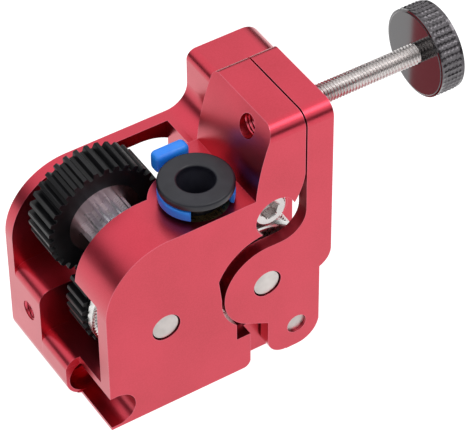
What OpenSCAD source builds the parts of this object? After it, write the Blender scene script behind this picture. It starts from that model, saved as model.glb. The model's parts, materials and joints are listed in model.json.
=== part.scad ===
// Compact dual-drive filament extruder: two-part housing, hinged idler arm
// with a thumb screw, reduction gears and a pair of hobbed filament gears.
// The shapes are laid out from the lower front left corner of the front face,
// then placed() moves the origin to the centre of the motor bolt pattern on the
// motor face. X right, Y back towards the motor, Z up. Lengths in millimetres.

/* [Housing] */
// Overall depth from the front face to the motor face
depth = 23.6; // [23:0.1:25]
// Depth where the front housing meets the rear housing
seam_y = 14.9; // [14.7:0.1:15]
// Front surface of the motor plate
plate_y = 21.7; // [21.4:0.1:21.8]
// Thickness of the wall in front of the drive gear
wall = 2.4; // [2.3:0.05:2.45]
// Height of the left part of the front housing
front_top = 31.3; // [31:0.1:31.6]
// Height of the tower and of the idler arm
tower_top = 42.8; // [42.6:0.1:44]
// Height of the left part of the rear housing
rear_top = 29.8; // [29.7:0.1:30.4]
// Height of the rear tower
rear_tower_top = 39; // [38.8:0.1:40]

/* [Gears] */
// Teeth of the two large reduction gears
gear_teeth = 33; // [33:33]
// Teeth of the small steel pinion
pinion_teeth = 12; // [12:12]
// Outer radius of the two filament wheels
wheel_r = 8.1; // [8:0.05:8.15]
// Depth of the filament groove in the filament wheels
groove_depth = 0.85; // [0.6:0.05:0.9]

/* [Thumb screw] */
// Distance from the arm to the inner face of the knob
knob_gap = 16.6; // [16.2:0.1:18]
// Outer diameter of the knob
knob_d = 13.1; // [12:0.1:13.4]
// Thickness of the knob
knob_t = 3.9; // [3.5:0.1:5]

/* [Hidden] */
$fn = 64;
eps = 0.02;
// shaft positions as [x, z]
drive = [9.23, 15.3];
idler = [25.5, 14.8];
pivot = [30.4, 4.1];
compound = [7.35, 26.9];
motor = [16.6, 18.85];
motor_screw = [1.1, 3.35];
motor_pitch = 31;
// filament axis and thumb screw axis
fil_x = 17.4;
fil_y = 5;
// filament outlet below the wheels
outlet_r = 1.25;
outlet_top = 8.5;
knob_y = 5.1;
knob_z = 40.2;
// idler arm
ear = 1.9;
slot_back = 7.9;
arm_back = seam_y - 0.2;
arm_left = 31.8;
arm_gap = 0.25;
arm_right = 36;
lobe_r = 6.95;
shoulder_z = 21.75;
inner_r = 4;
// left edge of the leg and the rounded notch beside it
leg_left = 25.63;
notch_z = 6.88;
notch_r = 1;
// radius and height of the arm slot around the thumb screw
swing_r = 1.65;
swing = 0.45;
// bore of the thumb screw thread, at the root of the thread
tap_r = 1.7;
// shafts and bores
axle_r = 2;
pivot_r = 1.5;
run = 0.05;
// housing limits
left_x = -2.25;
boss_r = motor_screw[0] - left_x;
block_right = 22.7;
floor_z = 7.5;
band_z = 22.2;
block_top = 15.1;
cavity_right = 23;
right_x = 39.4;
head_r = 2.85;
// gears
// distance between the drive and compound shafts, and the pitch radii
spacing = norm(compound - drive);
big_r = spacing * gear_teeth / (gear_teeth + pinion_teeth);
small_r = spacing - big_r;
big_tip = big_r + 0.13;
small_tip = small_r + 0.57;
// radius of the room around the filament wheels and around the large gears
wheel_room = 8.75;
gear_room = big_tip + 0.4;
drive_y = [2.6, 7.4];
driven_y = [7.7, 12];
compound_y = [12.25, 17.85];
disc_r = 5.5;
compound_ang = atan2(compound[1] - drive[1], compound[0] - drive[0]);
// housing screw
screw_a = [26.9, 26.9];
screw_a_y = 1.5;
// alignment dowels
dowel_at = [[18.5, 3.2], [28.9, 30.9]];
// curved left side of the tower
tower_c = [62.19, 27.74];
tower_r = 38.7;
red = [0.78, 0.16, 0.24];
black = [0.12, 0.12, 0.13];
steel = [0.72, 0.72, 0.74];
dark_steel = [0.42, 0.4, 0.4];
blue = [0.1, 0.45, 0.9];
// collet flange
flange_z = 33.75;
collet_top = 34.9;

// ---------- helpers ----------
// move the layout origin to the motor pattern centre on the motor face
module placed() { translate([-motor[0], -depth, -motor[1]]) children(); }
// extrude an outline drawn in x and z from y = a to y = b
module deep(a, b) {
    translate([0, b, 0]) rotate([90, 0, 0]) linear_extrude(b - a) children();
}
// round bar along y
module bar(c, r, a, b) { deep(a, b) translate(c) circle(r = r); }
// extrude an outline drawn in y and z from x = a to x = b
module across(a, b) {
    translate([a, 0, 0]) rotate([90, 0, 90]) linear_extrude(b - a) children();
}
module rod_x(y, z, r, a, b) { across(a, b) translate([y, z]) circle(r = r); }
module box2(x0, z0, x1, z1) { translate([x0, z0]) square([x1 - x0, z1 - z0]); }
// convex corner filler: square with its corner at c rounded, sx and sz give
// the direction in which the rounded corner points
module corner(c, r, sx, sz) {
    difference() {
        translate([c[0] - (sx > 0 ? r : 0), c[1] - (sz > 0 ? r : 0)])
            square(r + eps);
        translate([c[0] - sx * r, c[1] - sz * r]) circle(r = r);
    }
}
// gear outline: n teeth, pitch radius rp, root and tip radii, half tooth
// widths at root, pitch and tip, first tooth at angle a
module gear2(n, rp, rr, rt, hr, hp, ht, a) {
    prof = [[rr, -hr], [rp, -hp], [rt, -ht], [rt, ht], [rp, hp], [rr, hr]];
    polygon([for (i = [0:n - 1], p = prof)
        let (t = a + i * 360 / n + p[1] / p[0] * 180 / PI)
        [p[0] * cos(t), p[0] * sin(t)]]);
}
module big2(a) { gear2(gear_teeth, big_r, big_r - 0.68, big_tip, 0.5, 0.34, 0.26, a); }
module small2(a) { gear2(pinion_teeth, small_r, small_r - 0.24, small_tip, 0.5, 0.4, 0.15, a); }
// round groove that the filament runs in
module groove(c) {
    translate([c[0], fil_y, c[1]]) rotate([90, 0, 0]) rotate_extrude()
        translate([wheel_r + 1.15 - groove_depth, 0]) circle(r = 1.15, $fn = 32);
}

// ---------- housing ----------
// clearance outline around the idler arm, seen from the front
module arm_gap2() {
    translate(idler) circle(r = 7.4);
    intersection() {
        translate([25.5, 16.1]) circle(r = 8.45);
        box2(16, 19.2, 40, 40);
    }
    polygon([[18.12, 15.4], [17.68, 19.2], [26, 19.2], [26, 15.4]]);
    difference() {
        box2(25.5, 16, arm_left - arm_gap, 34);
        translate([20.6, 34]) circle(r = 11.05);
        box2(25, 24.55, 26.4, 35);
    }
    box2(25.5, -1, 40, 24);
    box2(arm_left - arm_gap, 10, 45, 50);
    box2(20.47, 6.45, 30, 10);
    box2(block_right, -1, 40, 8);
}
module front_face2() {
    difference() {
        union() {
            box2(0, 0, 30, front_top);
            intersection() {
                box2(20, 20, arm_left, tower_top);
                translate(tower_c) circle(r = tower_r);
            }
        }
        corner([0, front_top], 10, -1, 1);
        corner([block_right, 0], 1.2, 1, -1);
        arm_gap2();
    }
}
// tower side profile with rounded front and rear top edges
module tower_side2() {
    difference() {
        box2(-1, -1, seam_y, tower_top);
        corner([0, tower_top], 2.1, -1, 1);
        corner([seam_y, tower_top], 1.2, 1, 1);
    }
}
module lower_block2(top, r) {
    difference() {
        box2(left_x, 0, block_right, top);
        corner([left_x, top], r, -1, 1);
        corner([left_x, 0], boss_r, -1, -1);
    }
}
module right_mass2() {
    intersection() {
        front_face2();
        box2(19.3, 23.5, 40, 50);
    }
}
module front_housing() {
    color(red) placed() difference() {
        union() {
            difference() {
                union() {
                    intersection() {
                        deep(0, 8.3) front_face2();
                        across(-1, 40) tower_side2();
                    }
                    intersection() {
                        deep(8.2, seam_y) right_mass2();
                        across(-1, 40) tower_side2();
                    }
                    deep(8.2, seam_y) lower_block2(floor_z, 1.8);
                    intersection() {
                        translate([fil_x, fil_y, band_z + 1.5])
                            cylinder(r = 6.6, h = front_top - band_z - 1.5);
                        deep(1, 20) box2(0, 0, 40, 40);
                    }
                }
                // the idler gear reaches into the block
                bar(idler, wheel_room, wall, slot_back - 0.2);
            }
            // lug that carries the arm pivot
            deep(2.3, slot_back - 0.2) {
                difference() {
                    box2(20, 0, pivot[0], 5.9);
                    box2(pivot[0] - 1.8, -1, 40, 1);
                    translate(idler) circle(r = wheel_room);
                }
                translate(pivot) circle(r = 3.1);
            }
        }
        // room for the drive gear, open to the left
        bar(drive, wheel_room, wall, 8.4);
        deep(wall, 8.4) box2(-1, floor_z, drive[0], band_z);
        bar(drive, gear_room, 7.5, 12.2);
        deep(8.25, seam_y + eps) box2(left_x - 1, floor_z, drive[0], band_z + 12);
        // room for the large compound gear and the motor pinion
        bar(compound, 5.7, 8.3, seam_y + eps);
        bar(compound, gear_room, 12.05, seam_y + eps);
        bar(motor, 4.7, 11.8, seam_y + eps);
        // axle bores
        bar(drive, axle_r + 0.2, -1, wall + 1);
        bar(drive, axle_r, 12, seam_y + eps);
        bar(pivot, pivot_r, 2, slot_back);
        bar(compound, pivot_r, 4.3, 8.4);
        // filament path and collet seat
        translate([fil_x, fil_y, 8]) cylinder(r = 1, h = 20);
        translate([fil_x, fil_y, outlet_top]) cylinder(r1 = outlet_r, r2 = 2.2, h = 2.5);
        translate([fil_x, fil_y, -1]) cylinder(r = outlet_r, h = outlet_top + 1 + eps);
        translate([fil_x, fil_y, 23.9]) cylinder(r = 4.6, h = 10);
        // pocket for the housing screw
        bar(screw_a, 3.2, -1, screw_a_y + 3);
        bar(screw_a, 1.6, 3, seam_y + 1);
        // open counterbore for the lower motor screw
        bar(motor_screw, head_r, -1, 11.3);
        deep(-1, 8.3) box2(left_x - 1, motor_screw[1] - head_r,
            motor_screw[0], motor_screw[1] + head_r);
        bar(motor_screw, 1.7, 11, seam_y + 1);
        // thumb screw thread
        rod_x(knob_y, knob_z, tap_r, 20, 40);
        // alignment dowels
        for (p = dowel_at) bar(p, 1, seam_y - 3, seam_y + 1);
    }
}

module rear_outline2() {
    difference() {
        union() {
            box2(left_x, 0, right_x, rear_top);
            box2(27.45, 20, right_x, rear_tower_top);
            translate([23.95, rear_top - eps]) difference() {
                square(3.51);
                translate([0, 3.5 + eps]) circle(r = 3.5);
            }
        }
        corner([left_x, 0], boss_r, -1, -1);
        corner([left_x, rear_top], 10, -1, 1);
        corner([27.45, rear_tower_top], 1.5, -1, 1);
        corner([right_x, rear_tower_top], 3, 1, 1);
        corner([right_x, 0], 5, 1, -1);
    }
}
module rear_housing() {
    color(red) placed() difference() {
        union() {
            deep(plate_y, depth) rear_outline2();
            deep(seam_y, plate_y + eps) difference() {
                rear_outline2();
                box2(left_x - 1, block_top, cavity_right, 45);
                corner([left_x, block_top], 2, -1, 1);
                translate(motor) circle(r = 5.2);
            }
            bar(compound, 2.7, compound_y[1] + 0.35, plate_y + eps);
        }
        // opening for the motor boss and its pinion
        deep(plate_y - 0.01, depth + 1) {
            translate(motor) circle(r = 9);
            translate([18.4, motor[1]]) circle(r = 9);
            box2(motor[0], motor[1] - 9, 18.4, motor[1] + 9);
        }
        bar(compound, pivot_r, compound_y[1], depth + 1);
        bar(drive, axle_r, seam_y - 1, 20);
        bar(motor_screw, 1.7, seam_y - 1, depth + 1);
        bar(motor_screw + [motor_pitch, motor_pitch], 1.7, seam_y - 1, depth + 1);
        bar(motor_screw + [motor_pitch, motor_pitch], head_r, seam_y - 1, 18.4);
        bar(screw_a, 1.5, seam_y - 1, 22);
        rod_x(18.2, 9.2, 1.5, left_x - 1, 4);
        for (p = dowel_at) bar(p, 1, seam_y - 1, seam_y + 3);
    }
}
module alignment_dowels() {
    color(steel) placed() for (p = dowel_at) bar(p, 1, seam_y - 2.9, seam_y + 2.9);
}
module housing_screw() {
    color(steel) placed() difference() {
        union() {
            bar(screw_a, 2.53, screw_a_y, screw_a_y + 0.3);
            bar(screw_a, 2.75, screw_a_y + 0.22, screw_a_y + 3);
            bar(screw_a, 1.5, screw_a_y + 3 - eps, 21);
        }
        deep(0, screw_a_y + 1.6) translate(screw_a) rotate(12) circle(r = 1.5, $fn = 6);
    }
}

// ---------- idler arm ----------
module arm2() {
    difference() {
        union() {
            translate(idler) circle(r = lobe_r);
            box2(arm_left, 16.3, arm_right, tower_top);
            translate([33, 16.3]) circle(r = 3);
            box2(leg_left, 3.1, 34.13, 16.3);
            polygon([[22.27, 8.65], [leg_left + eps, 6.88], [leg_left + eps, 12], [22.3, 12]]);
            box2(25.5, 14.8, 34.13, shoulder_z);
            box2(arm_left - inner_r, 20, arm_left + eps, shoulder_z + inner_r);
            box2(28.63, 0, 30.4, 5);
            translate([28.63, 3.1]) circle(r = 3);
            translate([30.43, 3.7]) circle(r = 3.7);
        }
        translate([arm_left - inner_r, shoulder_z + inner_r]) circle(r = inner_r);
        box2(24, shoulder_z, arm_left - inner_r + eps, 30);
        box2(21, -1, leg_left, notch_z - notch_r);
        box2(21, -1, leg_left - notch_r, notch_z);
        translate([leg_left - notch_r, notch_z - notch_r]) circle(r = notch_r);
    }
}
module idler_arm() {
    color(red) placed() difference() {
        intersection() {
            deep(0, arm_back) arm2();
            across(10, 45) tower_side2();
        }
        // slot for the filament gear, open to both sides and to the bottom
        deep(ear, slot_back) box2(10, -5, 45, 27);
        // relief behind the slot on the right side
        deep(slot_back - eps, 11) box2(33.3, 12.2, 45, 27);
        // axle bores
        bar(idler, axle_r + 0.2, -1, ear + 0.5);
        bar(idler, axle_r, ear, arm_back - 1.2);
        bar(pivot, pivot_r + run, -1, arm_back + 1);
        // thumb screw slot, tall enough for the arm to swing
        rod_x(knob_y, knob_z, swing_r, 30, 40);
        rod_x(knob_y, knob_z + swing, swing_r, 30, 40);
        across(30, 40) translate([knob_y - swing_r, knob_z]) square([2 * swing_r, swing]);
    }
}
module pivot_pin() { color(steel) placed() bar(pivot, pivot_r, 0.45, arm_back - 0.3); }

// ---------- shafts and gears ----------
module drive_axle() { color(steel) placed() bar(drive, axle_r, 0.25, 19.9); }
module idler_axle() { color(steel) placed() bar(idler, axle_r, 0.25, arm_back - 1.3); }
module compound_axle() { color(steel) placed() bar(compound, pivot_r, 4.4, depth - 0.3); }
module needle(c, a, b) {
    deep(a, b) translate(c) difference() {
        circle(r = 3);
        circle(r = axle_r + run);
    }
}
module drive_gear() {
    color(steel) placed() difference() {
        union() {
            bar(drive, wheel_r, drive_y[0], drive_y[1]);
            bar(drive, 5.2, drive_y[1] - eps, driven_y[0]);
            bar(drive, 4.4, driven_y[0] - eps, driven_y[1]);
        }
        groove(drive);
        bar(drive, 3, 2, 13);
    }
}
module driven_gear() {
    color(black) placed() deep(driven_y[0], driven_y[1]) difference() {
        translate(drive) big2(compound_ang);
        translate(drive) circle(r = 4.4);
    }
}
module drive_bearing() { color(steel) placed() needle(drive, drive_y[0] + 0.1, driven_y[1] - 0.1); }
module drive_shims() {
    color(dark_steel) placed() {
        deep(wall, drive_y[0] - run) ring2(drive, 3.4, axle_r + 0.01);
        deep(driven_y[1] + run, 12.2) ring2(drive, 3.4, axle_r + 0.01);
    }
}
module ring2(c, ro, ri) {
    translate(c) difference() { circle(r = ro); circle(r = ri); }
}
module compound_gear() {
    color(black) placed() difference() {
        deep(compound_y[0], compound_y[1]) translate(compound) big2(97);
        bar(compound, disc_r, compound_y[0] - 1, compound_y[0] + 2);
        bar(compound, 4.6, compound_y[0], compound_y[1] + 1);
    }
}
module compound_pinion() {
    color(dark_steel) placed() difference() {
        union() {
            deep(8.4, compound_y[0] + 0.5) translate(compound)
                small2(compound_ang + 180 + 180 / pinion_teeth);
            bar(compound, disc_r, compound_y[0] + 0.15, compound_y[0] + 2);
            bar(compound, 4.6, compound_y[0] + 2 - eps, compound_y[1]);
        }
        bar(compound, 2.2, 8, compound_y[1] + 1);
    }
}
module compound_bushing() {
    color([0.7, 0.5, 0.25]) placed() deep(8.45, compound_y[1] - 0.05)
        ring2(compound, 2.2, pivot_r + run);
}
module idler_gear() {
    color(steel) placed() difference() {
        union() {
            bar(idler, wheel_r, drive_y[0], drive_y[1]);
            bar(idler, 4.4, drive_y[0] - 0.3, drive_y[1] + 0.2);
        }
        groove(idler);
        bar(idler, 3, 2, 13);
    }
}
module idler_bearing() { color(steel) placed() needle(idler, drive_y[0] - 0.2, drive_y[1] + 0.1); }
module idler_shims() {
    color(dark_steel) placed() {
        deep(ear, drive_y[0] - 0.3 - run) ring2(idler, 3.4, axle_r + 0.01);
        deep(drive_y[1] + 0.2 + run, slot_back) ring2(idler, 3.4, axle_r + 0.01);
    }
}

// ---------- thumb screw ----------
module thumb_screw() {
    color(steel) placed() rod_x(knob_y, knob_z, 1.5, 28, arm_right + knob_gap + 2.5);
}
module thumb_knob() {
    color(black) placed() difference() {
        translate([arm_right + knob_gap, knob_y, knob_z]) rotate([0, 90, 0])
            rotate_extrude() polygon([[0, 0], [knob_d / 2 - 0.3, 0], [knob_d / 2, 0.3],
                [knob_d / 2, knob_t - 0.4], [knob_d / 2 - 0.4, knob_t], [0, knob_t]]);
        rod_x(knob_y, knob_z, pivot_r + run, 50, arm_right + knob_gap + 2.55);
    }
}

// ---------- collet ----------
module collet() {
    color(black) placed() translate([fil_x, fil_y, 0]) difference() {
        rotate_extrude() {
            polygon([[0, 24.8], [3.25, 24.8], [3.25, 30], [2.95, 30.4], [2.95, flange_z],
                [5.1, flange_z], [5.3, flange_z + 0.2], [5.3, collet_top - 0.2],
                [5.1, collet_top], [0, collet_top]]);
        }
        rotate_extrude() polygon([[0, 24], [2.1, 24], [2.1, collet_top - 1.7],
            [2.65, collet_top - 1.1], [2.65, collet_top + 0.05], [0, collet_top + 0.05]]);
        for (a = [45, 135]) rotate(a) translate([-4, -0.3, 24]) cube([8, 0.6, 4.5]);
    }
}
module collet_seat() {
    color([0.7, 0.55, 0.3]) placed() translate([fil_x, fil_y, 0]) rotate_extrude()
        polygon([[1.6, 23.9], [4.6, 23.9], [4.6, 31.2], [3.3, 31.2], [3.3, 24.4],
            [1.6, 24.4]]);
}
module collet_clip() {
    color(blue) placed() translate([fil_x, fil_y, 0]) {
        translate([0, 0, 31.85]) linear_extrude(1.6) difference() {
            circle(r = 5.3);
            circle(r = 3.05);
            box2(-3.05, -6, 3.05, 0);
            box2(-6, -6, 6, -3.7);
        }
        translate([-2, 4.4, 31.85]) cube([4, 1.6, 1.6]);
        translate([-2.65, 5.6, 32.2]) cube([5.3, 2.2, 3.1]);
    }
}

front_housing();
rear_housing();
alignment_dowels();
housing_screw();
idler_arm();
pivot_pin();
drive_axle();
idler_axle();
compound_axle();
drive_gear();
driven_gear();
drive_bearing();
drive_shims();
compound_gear();
compound_pinion();
compound_bushing();
idler_gear();
idler_bearing();
idler_shims();
thumb_screw();
thumb_knob();
collet();
collet_seat();
collet_clip();
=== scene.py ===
"""Looks for the compact dual-drive extruder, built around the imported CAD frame."""
import json
import math

import bmesh
import bpy
from mathutils import Matrix, Vector


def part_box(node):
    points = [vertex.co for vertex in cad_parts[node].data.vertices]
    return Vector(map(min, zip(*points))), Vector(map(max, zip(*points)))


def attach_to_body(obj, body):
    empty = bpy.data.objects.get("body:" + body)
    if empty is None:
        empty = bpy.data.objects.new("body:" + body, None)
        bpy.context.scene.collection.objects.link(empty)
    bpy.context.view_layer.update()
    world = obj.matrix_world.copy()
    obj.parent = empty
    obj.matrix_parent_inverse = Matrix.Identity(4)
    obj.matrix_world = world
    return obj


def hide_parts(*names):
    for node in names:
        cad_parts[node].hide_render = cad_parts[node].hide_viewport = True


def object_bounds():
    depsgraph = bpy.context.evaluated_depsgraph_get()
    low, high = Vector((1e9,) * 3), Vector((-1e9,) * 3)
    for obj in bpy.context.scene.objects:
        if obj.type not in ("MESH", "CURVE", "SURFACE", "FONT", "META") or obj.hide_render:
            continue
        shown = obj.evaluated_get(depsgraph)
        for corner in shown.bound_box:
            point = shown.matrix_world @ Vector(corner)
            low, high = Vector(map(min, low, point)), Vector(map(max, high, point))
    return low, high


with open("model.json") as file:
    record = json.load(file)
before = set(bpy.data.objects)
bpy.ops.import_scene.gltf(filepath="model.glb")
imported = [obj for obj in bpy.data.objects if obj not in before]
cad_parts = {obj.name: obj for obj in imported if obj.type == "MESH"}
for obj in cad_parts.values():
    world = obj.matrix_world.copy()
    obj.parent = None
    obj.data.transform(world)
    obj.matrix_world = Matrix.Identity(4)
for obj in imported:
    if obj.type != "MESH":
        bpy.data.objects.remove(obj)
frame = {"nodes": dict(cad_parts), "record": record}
CAD_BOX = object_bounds()
MM = 0.001
M3_RADIUS_MM = 1.5
PITCH_MM = 0.5
THREAD_STEP_MM = 0.0625     # height between two rings of a modelled thread
CLIP_INNER_MM = 3.05        # a little wider than the collet's neck
TOWER_FACE_MM = 7.6         # from the arm's leftmost point to the tower's left face at its hole
FLOOR_GAP_MM = 0.2
FLOOR_DIFFUSE = 0.12        # the floor's brightness for diffuse rays
FLOOR_GLOSS = 0.86          # and for glossy rays


# ---------------------------------------------------------------- helpers
def box(node):
    """Lowest and highest corners of a CAD node, as vectors in metres."""
    low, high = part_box(node)
    return Vector(low), Vector(high)


def new_object(name, verts, faces, mat, smooth_deg):
    """Object from verts in metres, with its normals pointing outwards."""
    mesh = bpy.data.meshes.new(name)
    mesh.from_pydata([tuple(v) for v in verts], [], faces)
    mesh.validate()
    mesh.update()
    bm = bmesh.new()
    bm.from_mesh(mesh)
    bmesh.ops.remove_doubles(bm, verts=bm.verts, dist=1e-7)
    bmesh.ops.recalc_face_normals(bm, faces=bm.faces)
    bm.to_mesh(mesh)
    bm.free()
    obj = bpy.data.objects.new(name, mesh)
    bpy.context.scene.collection.objects.link(obj)
    mesh.materials.append(mat)
    shade(obj, smooth_deg)
    return obj


def shade(obj, smooth_deg):
    """Smooth shading with sharp edges above an angle."""
    mesh = obj.data
    for poly in mesh.polygons:
        poly.use_smooth = True
    mesh.set_sharp_from_angle(angle=math.radians(smooth_deg))


def bevel(obj, width_mm):
    """Rounded edges that catch the light."""
    mod = obj.modifiers.new("edge", "BEVEL")
    mod.width = width_mm * MM
    mod.segments = 2
    mod.limit_method = "ANGLE"
    mod.angle_limit = math.radians(30.0)
    mod.harden_normals = True
    mod.miter_outer = "MITER_ARC"


def axis_matrix(origin, axis):
    """Matrix taking local +Z to the given world axis, placed at origin."""
    z = Vector(axis).normalized()
    helper = Vector((0, 0, 1)) if abs(z.z) < 0.9 else Vector((0, 1, 0))
    x = helper.cross(z).normalized()
    y = z.cross(x)
    rot = Matrix((x, y, z)).transposed().to_4x4()
    return Matrix.Translation(Vector(origin)) @ rot


def point(matrix, radius, angle, height):
    """Point on a circle about the matrix's Z axis, radius and height in mm."""
    return matrix @ Vector((radius * math.cos(angle) * MM, radius * math.sin(angle) * MM, height * MM))


def triangle(x):
    """Wave of 1 at whole numbers and 0 half way between them."""
    return abs((x % 1.0) * 2 - 1)


def thread_cut(turns):
    """Depth of an outer thread's groove, 0 to 1, at a place counted in turns."""
    return min(1.0, max(0.0, 1.15 - triangle(turns) * 1.3))


def ring_faces(starts, cols):
    """Quads between rings of verts, and a cap on each end."""
    faces = []
    for a, b in zip(starts, starts[1:]):
        for s in range(cols):
            t = (s + 1) % cols
            faces.append((a + s, a + t, b + t, b + s))
    faces.append(tuple(range(starts[0] + cols - 1, starts[0] - 1, -1)))
    faces.append(tuple(range(starts[-1], starts[-1] + cols)))
    return faces


def turned_faces(cols, n):
    """Quads of a closed profile of n points, turned in cols steps."""
    faces = []
    for s in range(cols):
        t = (s + 1) % cols
        for i in range(n):
            j = (i + 1) % n
            faces.append((s * n + i, s * n + j, t * n + j, t * n + i))
    return faces


def attach(obj, body, node=None):
    """Ride a body and stand in for a CAD node, if given."""
    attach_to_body(obj, body)
    if node is not None:
        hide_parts(node)


def arc(cx, cy, r, a0, a1, steps):
    """Points of an arc in a profile, angles in degrees."""
    return [(cx + r * math.cos(math.radians(a0 + (a1 - a0) * i / steps)),
             cy + r * math.sin(math.radians(a0 + (a1 - a0) * i / steps)))
            for i in range(steps + 1)]


# ---------------------------------------------------------------- materials
class Nodes:
    """Small wrapper that builds a procedural material."""

    def __init__(self, name):
        self.mat = bpy.data.materials.new(name)
        self.mat.use_nodes = True
        self.tree = self.mat.node_tree
        self.bsdf = self.tree.nodes["Principled BSDF"]
        self.coord = self.tree.nodes.new("ShaderNodeTexCoord")

    def add(self, kind, **values):
        node = self.tree.nodes.new(kind)
        for key, value in values.items():
            setattr(node, key, value)
        return node

    def link(self, out, target):
        self.tree.links.new(out, target)

    def noise(self, scale, detail=3.0, stretch=(1, 1, 1)):
        mapping = self.add("ShaderNodeMapping")
        mapping.inputs["Scale"].default_value = stretch
        self.link(self.coord.outputs["Object"], mapping.inputs["Vector"])
        tex = self.add("ShaderNodeTexNoise")
        tex.inputs["Scale"].default_value = scale
        tex.inputs["Detail"].default_value = detail
        self.link(mapping.outputs["Vector"], tex.inputs["Vector"])
        return tex.outputs["Fac"]

    def ramp(self, source, low, high, out_low, out_high):
        node = self.add("ShaderNodeMapRange")
        for key, value in zip(("From Min", "From Max", "To Min", "To Max"),
                              (low, high, out_low, out_high)):
            node.inputs[key].default_value = value
        self.link(source, node.inputs["Value"])
        return node.outputs["Result"]

    def mix(self, fac, a, b):
        """Blend of two colours, each a tuple or another node's output."""
        node = self.add("ShaderNodeMix", data_type="RGBA")
        for name, value in (("A", a), ("B", b)):
            if isinstance(value, tuple):
                node.inputs[name].default_value = (*value, 1)
            else:
                node.inputs[name].default_value = (0, 0, 0, 1)
                self.link(value, node.inputs[name])
        self.link(fac, node.inputs["Factor"])
        return node.outputs["Result"]

    def bump(self, height, strength, distance_mm):
        node = self.add("ShaderNodeBump")
        node.inputs["Strength"].default_value = strength
        node.inputs["Distance"].default_value = distance_mm * MM
        self.link(height, node.inputs["Height"])
        return node.outputs["Normal"]

    def facing(self, axis, low, high):
        """0 to 1 as a face turns towards a world axis, either way."""
        geo = self.add("ShaderNodeNewGeometry")
        split = self.add("ShaderNodeSeparateXYZ")
        self.link(geo.outputs["True Normal"], split.inputs[0])
        size = self.add("ShaderNodeMath", operation="ABSOLUTE")
        self.link(split.outputs[axis], size.inputs[0])
        return self.ramp(size.outputs[0], low, high, 0, 1)

    def edge(self, radius_mm):
        """1 on convex or concave edges, 0 on flat faces."""
        soft = self.add("ShaderNodeBevel")
        soft.samples = 4
        soft.inputs["Radius"].default_value = radius_mm * MM
        geo = self.add("ShaderNodeNewGeometry")
        dot = self.add("ShaderNodeVectorMath", operation="DOT_PRODUCT")
        self.link(soft.outputs["Normal"], dot.inputs[0])
        self.link(geo.outputs["Normal"], dot.inputs[1])
        return self.ramp(dot.outputs["Value"], 0.995, 0.8, 0.0, 1.0)

    def set(self, **values):
        for key, value in values.items():
            socket = self.bsdf.inputs[key.replace("_", " ")]
            if hasattr(value, "links"):
                self.link(value, socket)
            else:
                socket.default_value = value


def scaled(n, source, factor):
    """A node output times a number."""
    node = n.add("ShaderNodeMath", operation="MULTIPLY")
    node.inputs[1].default_value = factor
    n.link(source, node.inputs[0])
    return node.outputs[0]


def anodised():
    """Red anodised aluminium: fine grain and a painted pale pink highlight on the edges, under a thin
    clear coat.
    """
    n = Nodes("anodised_red")
    cloud = n.noise(90, 3)
    grain = n.noise(5200, 2)
    base = n.mix(n.ramp(cloud, 0.35, 0.65, 0, 1), (0.56, 0.023, 0.050), (0.62, 0.029, 0.062))
    base = n.mix(n.ramp(grain, 0.4, 0.6, 0, 0.22), base, (0.72, 0.05, 0.10))
    # painted highlight: edges lightened towards pale pink, where light catches them
    base = n.mix(scaled(n, n.edge(0.2), 0.5), base, (0.88, 0.26, 0.36))
    n.set(Base_Color=base, Metallic=1.0,
          Roughness=n.ramp(n.noise(220, 4), 0.3, 0.7, 0.29, 0.36),
          Normal=n.bump(grain, 0.22, 0.008))
    n.set(Coat_Weight=0.75, Coat_Roughness=0.28, Coat_IOR=1.5)
    return n.mat


def plastic(name, color, light, rough, grain_scale=2500, strength=0.15, gloss=0.5):
    """Moulded plastic with a painted highlight on its edges."""
    n = Nodes(name)
    grain = n.noise(grain_scale, 3)
    base = n.mix(n.ramp(n.noise(300, 2), 0.35, 0.65, 0, 1), color,
                 tuple(min(1, c * 1.35 + 0.002) for c in color))
    # painted highlight: the light colour is mixed in along the edges
    base = n.mix(scaled(n, n.edge(0.12), 0.6), base, light)
    n.set(Base_Color=base, Roughness=n.ramp(n.noise(700, 3), 0.3, 0.7, rough - 0.05, rough + 0.07),
          Normal=n.bump(grain, strength, 0.012))
    n.set(Specular_IOR_Level=gloss)
    return n.mat


def pinion_metal():
    """Bright teeth on a disc whose faces, turned along Y, carry painted shade and a painted red
    reflection of the housing.
    """
    n = Nodes("pinion_steel")
    # painted shade and red reflection: faces turned along Y get the darker reddish colour
    face = n.facing("Y", 0.5, 0.9)
    lines = n.noise(1500, 4, (1, 5, 1))
    base = n.mix(face, n.mix(n.ramp(lines, 0.3, 0.7, 0, 1), (0.62, 0.60, 0.66), (0.84, 0.82, 0.88)),
                 (0.40, 0.31, 0.31))
    n.set(Base_Color=base, Metallic=1.0, Roughness=n.ramp(lines, 0.3, 0.7, 0.26, 0.42),
          Normal=n.bump(lines, 0.14, 0.01))
    return n.mat


def metal(name, color, rough, stretch=(1, 1, 1), scratch=1500, strength=0.12, dark=0.8):
    """Bare metal with fine marks, drawn out where stretch is not even."""
    n = Nodes(name)
    lines = n.noise(scratch, 4, stretch)
    base = n.mix(n.ramp(n.noise(260, 3), 0.3, 0.7, 0, 1), tuple(c * dark for c in color), color)
    n.set(Base_Color=base, Metallic=1.0,
          Roughness=n.ramp(lines, 0.3, 0.7, rough - 0.07, rough + 0.1),
          Normal=n.bump(lines, strength, 0.01))
    return n.mat


def black_knob():
    """Polished on the two flat faces, satin on the knurled rim."""
    n = Nodes("knob_black")
    flat = n.facing("X", 0.93, 0.99)
    fine = n.noise(1800, 3)
    satin = n.mix(n.ramp(fine, 0.35, 0.65, 0, 1), (0.055, 0.048, 0.055), (0.10, 0.09, 0.10))
    n.set(Base_Color=n.mix(flat, satin, (0.045, 0.042, 0.045)), Metallic=0.9,
          Roughness=n.ramp(flat, 0, 1, 0.30, 0.09), Normal=n.bump(fine, 0.05, 0.006))
    n.set(Coat_Weight=0.9, Coat_Roughness=0.08)
    return n.mat


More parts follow.
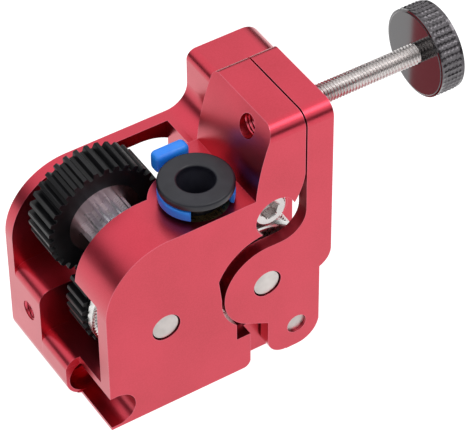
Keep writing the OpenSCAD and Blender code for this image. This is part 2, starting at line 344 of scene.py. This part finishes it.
RED = anodised()
# the second colour of each plastic is its painted edge highlight
POM = plastic("pom_black", (0.004, 0.004, 0.005), (0.035, 0.035, 0.04), 0.36, gloss=0.3)
COLLET = plastic("collet_black", (0.008, 0.008, 0.014), (0.05, 0.05, 0.07), 0.38, 1800, 0.1)
BLUE = plastic("clip_blue", (0.014, 0.21, 0.90), (0.06, 0.36, 0.95), 0.34, 900, 0.06)
GEAR_STEEL = metal("gear_steel", (0.86, 0.85, 0.83), 0.26, (1, 6, 1))
PINION_STEEL = pinion_metal()
PIN_STEEL = metal("pin_steel", (0.70, 0.655, 0.63), 0.38, (1, 1, 1), 1400, 0.45, 0.72)
SCREW_STEEL = metal("screw_steel", (0.74, 0.70, 0.69), 0.26, (1, 1, 1), 1200, 0.1)
BRONZE = metal("bronze", (0.55, 0.33, 0.14), 0.38)
BRASS = metal("brass", (0.78, 0.56, 0.24), 0.28)
KNOB = black_knob()

NODE_LOOK = {
    "front_housing": RED, "rear_housing": RED, "idler_arm": RED,
    "alignment_dowels": PIN_STEEL, "pivot_pin": PIN_STEEL, "drive_axle": PIN_STEEL,
    "idler_axle": PIN_STEEL, "compound_axle": PIN_STEEL, "drive_bearing": PIN_STEEL,
    "idler_bearing": PIN_STEEL, "drive_shims": PINION_STEEL, "idler_shims": PINION_STEEL,
    "compound_bushing": BRONZE, "collet_seat": BRASS, "drive_gear": GEAR_STEEL,
    "idler_gear": GEAR_STEEL, "driven_gear": POM, "compound_gear": POM,
    "compound_pinion": PINION_STEEL, "collet_clip": BLUE, "thumb_screw": SCREW_STEEL,
    "thumb_knob": KNOB, "housing_screw": SCREW_STEEL, "collet": COLLET,
}
BEVEL_MM = {
    "front_housing": 0.16, "rear_housing": 0.16, "idler_arm": 0.3, "pivot_pin": 0.15,
    "drive_axle": 0.15, "idler_axle": 0.15,
    "driven_gear": 0.08, "compound_gear": 0.08, "compound_pinion": 0.06,
}
for node, look in NODE_LOOK.items():
    obj = frame["nodes"][node]
    for slot in obj.material_slots:
        slot.material = look
    if not obj.material_slots:
        obj.data.materials.append(look)
    if node in BEVEL_MM:
        bevel(obj, BEVEL_MM[node])


# ---------------------------------------------------------------- thumb screw
def threaded_rod():
    """Long screw with real turns of thread and a chamfered tip."""
    low, high = box("thumb_screw")
    mid = (low + high) / 2
    length = (high.x - low.x) / MM
    radius = (high.z - low.z) / 2 / MM
    depth, chamfer, per_turn = 0.30, 0.45, 40
    rings = int(length / THREAD_STEP_MM) + 1
    m = axis_matrix((low.x, mid.y, mid.z), (1, 0, 0))
    verts = []
    for i in range(rings):
        h = min(i * THREAD_STEP_MM, length)
        limit = radius - max(0.0, chamfer - h)
        for s in range(per_turn):
            r = radius - depth * thread_cut(h / PITCH_MM - s / per_turn)
            verts.append(point(m, min(r, limit), 2 * math.pi * s / per_turn, h))
    faces = ring_faces([i * per_turn for i in range(rings)], per_turn)
    obj = new_object("thumb_screw_thread", verts, faces, SCREW_STEEL, 60)
    attach(obj, "knob", "thumb_screw")


def knob():
    """Knob with a diamond knurl on its rim and two turned faces."""
    low, high = box("thumb_knob")
    mid = (low + high) / 2
    radius = (high.z - low.z) / 2 / MM
    thick = (high.x - low.x) / MM
    m = axis_matrix((low.x, mid.y, mid.z), (1, 0, 0))
    ridges, per_ridge, depth, slope = 46, 6, 0.34, 3.2
    cols = ridges * per_ridge
    rows = 22
    verts, rings = [], []

    def ring(h, radius_at):
        rings.append(len(verts))
        for s in range(cols):
            verts.append(point(m, radius_at(s), 2 * math.pi * s / cols, h))

    def plain(r):
        return lambda _: r

    # inner face: small bore for the screw, then the flat turned face
    ring(0.3, plain(M3_RADIUS_MM))
    ring(0.0, plain(M3_RADIUS_MM + 0.08))
    ring(0.0, plain(radius - 0.5))
    ring(0.08, plain(radius - 0.4))
    for i in range(rows + 1):
        f = i / rows
        h = 0.12 + f * (thick - 0.24)
        end = min(1.0, f * 5, (1 - f) * 5)

        def edge(s, h=h, end=end):
            u = s / per_ridge
            crossed = min(triangle(u + h * slope / 2), triangle(u - h * slope / 2))
            cut = 0.45 * (1 - triangle(u)) + 0.55 * (1 - crossed * 0.9)
            return radius - depth * min(1.0, cut) * end - 0.12 * (1 - end)
        ring(h, edge)
    ring(thick - 0.06, plain(radius - 0.55))
    ring(thick, plain(radius - 0.8))
    ring(thick, plain(3.0))
    ring(thick - 0.25, plain(2.8))
    obj = new_object("thumb_knob_knurled", verts, ring_faces(rings, cols), KNOB, 30)
    attach(obj, "knob", "thumb_knob")


# ---------------------------------------------------------------- screw head
def socket_screw():
    """Cap screw: hexagon socket, knurled head and threaded shank."""
    low, high = box("housing_screw")
    mid = (low + high) / 2
    head_r = (high.x - low.x) / 2 / MM
    m = axis_matrix((mid.x, low.y, mid.z), (0, 1, 0))
    length = (high.y - low.y) / MM
    ridges, per_ridge = 42, 4
    cols = ridges * per_ridge
    verts, rings = [], []

    def ring(h, radius_at):
        rings.append(len(verts))
        for s in range(cols):
            a = 2 * math.pi * s / cols
            verts.append(point(m, radius_at(a, s), a, h))

    def hexagon(r):
        def at(a, _):
            k = (a + math.radians(12)) % (math.pi / 3) - math.pi / 6
            return r / math.cos(k)
        return at

    def plain(r):
        return lambda *_: r

    def knurl(_, s):
        return head_r - 0.13 * triangle(s / per_ridge)

    flat = 1.3
    ring(1.75, plain(0.3))
    ring(1.6, hexagon(flat - 0.02))
    ring(0.15, hexagon(flat))
    ring(0.02, plain(1.55))
    ring(0.0, plain(1.62))
    ring(0.0, plain(head_r - 0.42))
    ring(0.12, plain(head_r - 0.22))
    ring(0.32, plain(head_r - 0.1))
    ring(0.42, knurl)
    ring(2.85, knurl)
    ring(2.98, plain(head_r - 0.2))
    ring(3.0, plain(1.55))
    thread_start = 3.3
    steps = int((length - thread_start) / THREAD_STEP_MM)
    for i in range(steps + 1):
        h = thread_start + i * THREAD_STEP_MM

        def thread(a, _, h=h):
            return M3_RADIUS_MM - 0.28 * thread_cut(h / PITCH_MM - a / (2 * math.pi))
        ring(h, thread)
    obj = new_object("housing_socket_screw", verts, ring_faces(rings, cols), SCREW_STEEL, 30)
    attach(obj, "housing", "housing_screw")


# ---------------------------------------------------------------- collet
def collet():
    """Collet with a rounded flange and mouth."""
    low, high = box("collet")
    mid = (low + high) / 2
    h = (high.z - low.z) / MM
    flange = 1.15
    outer = (high.x - low.x) / 2 / MM
    profile = [(2.1, 0.0), (3.15, 0.0), (3.25, 0.15), (3.25, 5.2), (2.95, 5.6),
               (2.95, h - flange), (outer - 0.2, h - flange)]
    profile += arc(outer - 0.2, h - flange + 0.2, 0.2, -80, 0, 4)
    profile += arc(outer - 0.38, h - 0.38, 0.38, 0, 90, 7)
    profile += arc(3.0, h - 0.4, 0.4, 90, 180, 7)
    profile += [(2.6, h - 1.1), (2.1, h - 1.7)]
    cols = 120
    m = axis_matrix((mid.x, mid.y, low.z), (0, 0, 1))
    verts = [point(m, r, 2 * math.pi * s / cols, z) for s in range(cols) for r, z in profile]
    obj = new_object("collet_ring", verts, turned_faces(cols, len(profile)), COLLET, 40)
    attach(obj, "collet", "collet")


# ---------------------------------------------------------------- collet clip
def rounded_block(bm, low, high, radius, segments=4):
    """Box with all its edges rounded, added to bm."""
    made = bmesh.ops.create_cube(bm, size=1.0)["verts"]
    for v in made:
        v.co = Vector((low[i] if v.co[i] < 0 else high[i] for i in range(3)))
    edges = list({e for v in made for e in v.link_edges})
    bmesh.ops.bevel(bm, geom=edges, offset=radius, segments=segments, affect="EDGES", profile=0.5)


def clip():
    """Open ring with rounded edges, a neck and a thumb tab."""
    low, high = box("collet_clip")
    c_low, c_high = box("collet")
    mid = (c_low + c_high) / 2
    bm = bmesh.new()
    outer = (high.x - low.x) / 2 / MM
    z0, thick = low.z / MM, 1.6
    open_deg, steps, rings = 40.0, 72, []
    for k in range(steps + 1):
        a = math.radians(-90 + open_deg + (360 - 2 * open_deg) * k / steps)
        # the two arms run straight to the open front, so the neck can pass
        inner = CLIP_INNER_MM if math.sin(a) >= 0 else CLIP_INNER_MM / abs(math.cos(a))
        soft = min(0.28, (outer - inner) / 2.3)
        section = []
        for cx, cz, a0 in ((outer - soft, thick - soft, 0), (inner + soft, thick - soft, 90),
                           (inner + soft, soft, 180), (outer - soft, soft, 270)):
            section += arc(cx, cz, soft, a0, a0 + 90, 4)
        rings.append([bm.verts.new((mid.x + r * math.cos(a) * MM, mid.y + r * math.sin(a) * MM,
                                    (z0 + h) * MM)) for r, h in section])
    for a, b in zip(rings, rings[1:]):
        for i in range(len(section)):
            j = (i + 1) % len(section)
            bm.faces.new((a[i], a[j], b[j], b[i]))
    bm.faces.new(rings[0])
    bm.faces.new(list(reversed(rings[-1])))
    tab = 2.2
    rounded_block(bm, (mid.x - 2 * MM, mid.y + 4.4 * MM, low.z),
                  (mid.x + 2 * MM, high.y - (tab - 0.9) * MM, low.z + thick * MM), 0.25 * MM)
    rounded_block(bm, (mid.x - 2.65 * MM, high.y - tab * MM, high.z - 3.1 * MM),
                  (mid.x + 2.65 * MM, high.y, high.z), 0.75 * MM, 6)
    bmesh.ops.recalc_face_normals(bm, faces=bm.faces)
    mesh = bpy.data.meshes.new("collet_clip_moulded")
    bm.to_mesh(mesh)
    bm.free()
    obj = bpy.data.objects.new("collet_clip_moulded", mesh)
    bpy.context.scene.collection.objects.link(obj)
    mesh.materials.append(BLUE)
    shade(obj, 50)
    attach(obj, "clip", "collet_clip")


# ---------------------------------------------------------------- filament wheels
def filament_wheel(name, node, body, front, back):
    """Turned wheel with fine teeth cut across its groove. front and back are the
    closing parts of the profile, (radius, depth) from the wheel's front face."""
    low, high = box(node)
    mid = (low + high) / 2
    rim = (high.x - low.x) / 2 / MM
    start = front[0][1]
    m = axis_matrix((mid.x, low.y, mid.z), (0, 1, 0))
    notches, per_notch, cut = 84, 4, 0.24
    cols = notches * per_notch
    groove_r, groove_mid = 1.15, 2.4
    groove = [(rim + 0.3 - groove_r * math.cos(math.radians(t)),
               groove_mid + groove_r * math.sin(math.radians(t))) for t in range(-74, 75, 8)]
    profile = [(r, h, 0.0) for r, h in front]
    profile += [(rim - 0.2, 0.0, 0.0), (rim, 0.2, 0.0), (rim, groove[0][1] - 0.03, 0.0)]
    profile += [(r, h, cut) for r, h in groove]
    profile += [(rim, groove[-1][1] + 0.03, 0.0), (rim, 4.6, 0.0), (rim - 0.2, 4.8, 0.0)]
    profile += [(r, h, 0.0) for r, h in back]
    verts = []
    for s in range(cols):
        notch = triangle(s / per_notch)
        for r, h, depth in profile:
            verts.append(point(m, r - depth * notch, 2 * math.pi * s / cols, h - start))
    obj = new_object(name, verts, turned_faces(cols, len(profile)), GEAR_STEEL, 28)
    attach(obj, body, node)


def filament_wheels():
    """The driven wheel with its hub behind, and its mate on the arm."""
    filament_wheel("drive_wheel_hobbed", "drive_gear", "drive_train", [(3.0, 0.0)],
                   [(5.2, 4.8), (5.2, 5.1), (4.4, 5.1), (4.4, 9.4), (3.0, 9.4)])
    filament_wheel("idler_wheel_hobbed", "idler_gear", "idler_train",
                   [(3.0, -0.3), (4.25, -0.3), (4.4, -0.15), (4.4, 0.0)],
                   [(4.4, 4.8), (4.4, 4.9), (4.25, 5.0), (3.0, 5.0)])


# ---------------------------------------------------------------- threaded hole
def thread_in_hole(name, mouth, axis, radius, ridge_depth, length):
    """Visible turns of a thread just inside a hole. axis points into the hole."""
    m = axis_matrix(Vector(mouth) + Vector(axis) * 0.15 * MM, axis)
    per_turn = 36
    rings = int(length / THREAD_STEP_MM) + 1
    verts, faces = [], []
    # the ridged inside first, then the plain outside, just clear of the hole's wall
    for crest in (1, 0):
        for i in range(rings):
            h = i * THREAD_STEP_MM
            for s in range(per_turn):
                ridge = 1 - triangle(h / PITCH_MM - s / per_turn)
                r = radius - 0.004 - crest * (0.012 + ridge_depth * ridge)
                verts.append(point(m, r, 2 * math.pi * s / per_turn, h))
    back = rings * per_turn
    for i in range(rings - 1):
        for s in range(per_turn):
            t = (s + 1) % per_turn
            low, up = i * per_turn, (i + 1) * per_turn
            faces.append((low + s, low + t, up + t, up + s))
            faces.append((back + up + s, back + up + t, back + low + t, back + low + s))
    for i in (0, rings - 1):
        for s in range(per_turn):
            t = (s + 1) % per_turn
            k = i * per_turn
            faces.append((k + s, k + t, back + k + t, back + k + s))
    obj = new_object(name, verts, faces, RED, 40)
    attach(obj, "housing")


def threads_in_holes():
    """Threads of the side hole and of the thumb screw's hole in the tower."""
    mount = [m for m in frame["record"]["mounts"] if m["name"] == "side_thread"][0]
    inward = tuple(-c for c in mount["axis"])
    thread_in_hole("side_hole_thread", mount["pos_m"], inward, mount["dims"]["r_mm"], 0.24, 4.0)
    low, high = box("thumb_screw")
    mid = (low + high) / 2
    face_x = box("idler_arm")[0].x + TOWER_FACE_MM * MM
    thread_in_hole("tower_hole_thread", (face_x, mid.y, mid.z), (1, 0, 0), 1.7, 0.15, 4.5)


threaded_rod()
knob()
socket_screw()
collet()
clip()
filament_wheels()
threads_in_holes()


# ---------------------------------------------------------------- stage
def camera_only(tree, seen, others):
    """Strength seen by the camera and, apart from it, by every other ray."""
    path = tree.nodes.new("ShaderNodeLightPath")
    node = tree.nodes.new("ShaderNodeMapRange")
    node.inputs["To Max"].default_value = seen
    tree.links.new(path.outputs["Is Camera Ray"], node.inputs["Value"])
    if isinstance(others, (int, float)):
        node.inputs["To Min"].default_value = others
    else:
        tree.links.new(others, node.inputs["To Min"])
    return node.outputs["Result"]


def stage():
    """White floor just under the part."""
    size = 4.0
    mesh = bpy.data.meshes.new("floor")
    z = CAD_BOX[0][2] - FLOOR_GAP_MM * MM
    mesh.from_pydata([(-size, -size, z), (size, -size, z), (size, size, z), (-size, size, z)],
                     [], [(0, 1, 2, 3)])
    floor = bpy.data.objects.new("floor", mesh)
    bpy.context.scene.collection.objects.link(floor)
    mat = bpy.data.materials.new("floor_white")
    mat.use_nodes = True
    tree = mat.node_tree
    bsdf = tree.nodes["Principled BSDF"]
    bsdf.inputs["Base Color"].default_value = (0.25, 0.25, 0.25, 1)
    bsdf.inputs["Roughness"].default_value = 0.9
    bsdf.inputs["Specular IOR Level"].default_value = 0.0
    bsdf.inputs["Emission Color"].default_value = (1, 1, 1, 1)
    path = tree.nodes.new("ShaderNodeLightPath")
    shine = tree.nodes.new("ShaderNodeMapRange")
    shine.inputs["To Min"].default_value = FLOOR_DIFFUSE
    shine.inputs["To Max"].default_value = FLOOR_GLOSS
    tree.links.new(path.outputs["Is Glossy Ray"], shine.inputs["Value"])
    strength = camera_only(tree, 1.0, shine.outputs["Result"])
    tree.links.new(strength, bsdf.inputs["Emission Strength"])
    mesh.materials.append(mat)


def area(name, location, target, size, power):
    """Rectangular lamp aimed at target."""
    data = bpy.data.lights.new(name, "AREA")
    data.shape = "RECTANGLE"
    data.size, data.size_y = size
    data.energy = power
    obj = bpy.data.objects.new(name, data)
    obj.location = location
    obj.rotation_euler = (Vector(target) - Vector(location)).to_track_quat("-Z", "Y").to_euler()
    bpy.context.scene.collection.objects.link(obj)


def lights():
    """White studio: bright from above, dim around the horizon."""
    middle = (Vector(CAD_BOX[0]) + Vector(CAD_BOX[1])) / 2
    world = bpy.data.worlds.new("studio")
    bpy.context.scene.world = world
    world.use_nodes = True
    tree = world.node_tree
    background = tree.nodes["Background"]
    background.inputs["Color"].default_value = (1, 1, 1, 1)
    coord = tree.nodes.new("ShaderNodeTexCoord")
    split = tree.nodes.new("ShaderNodeSeparateXYZ")
    tree.links.new(coord.outputs["Generated"], split.inputs[0])
    sky = tree.nodes.new("ShaderNodeMapRange")
    sky.interpolation_type = "SMOOTHSTEP"
    for name, value in zip(("From Min", "From Max", "To Min", "To Max"), (0.28, 0.60, 0.06, 1.12)):
        sky.inputs[name].default_value = value
    tree.links.new(split.outputs["Z"], sky.inputs["Value"])
    strength = camera_only(tree, 1.0, sky.outputs["Result"])
    tree.links.new(strength, background.inputs["Strength"])
    key_offset = Vector((0.38, -0.30, 0.89)) * 0.55
    area("key_softbox", middle + key_offset, middle, (0.22, 0.22), 0.42)


def camera():
    """Long lens from the front, left and above."""
    azimuth, elevation, roll = map(math.radians, (-31.954, 44.154, -0.586))
    target = Vector((8.78, -15.01, 1.89)) * MM
    distance = 389.66 * MM
    right = Vector((math.cos(azimuth), math.sin(azimuth), 0))
    back = Vector((math.sin(azimuth) * math.cos(elevation),
                   -math.cos(azimuth) * math.cos(elevation), math.sin(elevation)))
    up = back.cross(right)
    rolled_right = right * math.cos(roll) + up * math.sin(roll)
    rolled_up = up * math.cos(roll) - right * math.sin(roll)
    data = bpy.data.cameras.new("camera")
    data.sensor_width = 36
    data.lens = 218.0
    data.clip_start, data.clip_end = 0.01, 50
    obj = bpy.data.objects.new("camera", data)
    rot = Matrix((rolled_right, rolled_up, back)).transposed().to_4x4()
    obj.matrix_world = Matrix.Translation(target + back * distance) @ rot
    bpy.context.scene.collection.objects.link(obj)
    bpy.context.scene.camera = obj


stage()
lights()
camera()
bpy.context.scene.view_settings.view_transform = "Standard"

bpy.context.view_layer.update()
